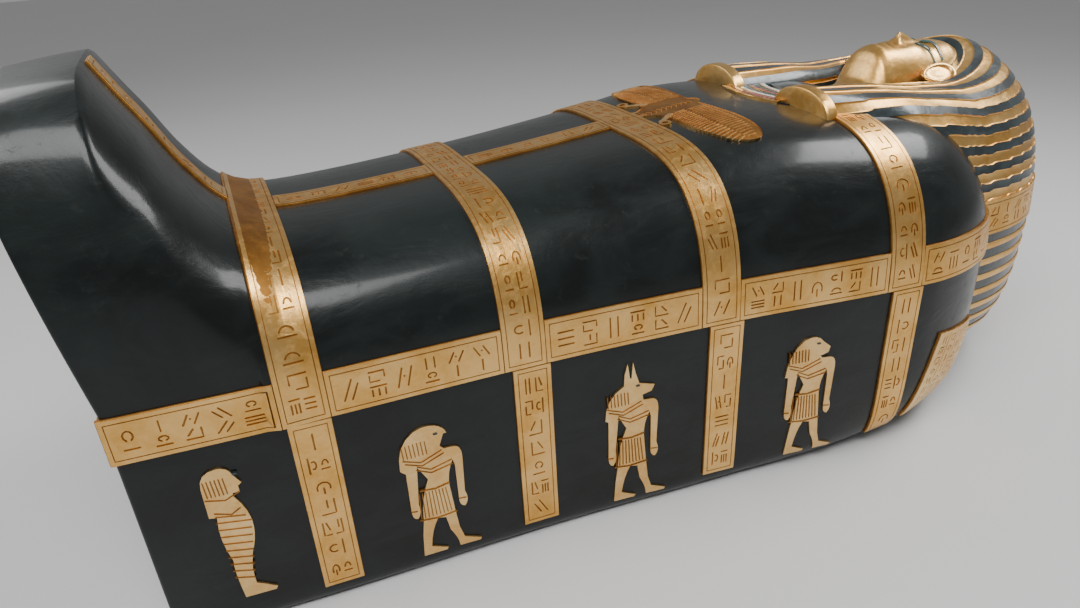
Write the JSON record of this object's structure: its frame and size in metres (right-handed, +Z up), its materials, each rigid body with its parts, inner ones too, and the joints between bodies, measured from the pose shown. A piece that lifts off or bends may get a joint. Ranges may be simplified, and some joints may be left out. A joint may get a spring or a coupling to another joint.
{
  "type": "anthropoid coffin",
  "caption": "Mummy-shaped wooden coffin lying on its back: hollow trough and lift-off lid, gilded bands on black varnish, striped wig and gold face.",
  "frame": {"origin": "middle of the coffin's box, on the ground under its underside", "axes": "+Z up, +X from the feet to the crown of the head, +Y to the coffin's right side; Y = 0 is the plane of symmetry"},
  "size_m": [2.837, 1.174, 1.226],
  "materials": {
    "black_varnish": "wood under glossy black resin varnish with a faint blue-green cast",
    "gilding": "burnished gold leaf over modelled plaster",
    "inlay": "dark blue-green, red and white paste inlay",
    "bare_wood": "plain tooled wood on the inside and the rims"
  },
  "bodies": {
    "root": {"trough": "black_varnish", "lid": "black_varnish"}
  },
  "joints": []
}
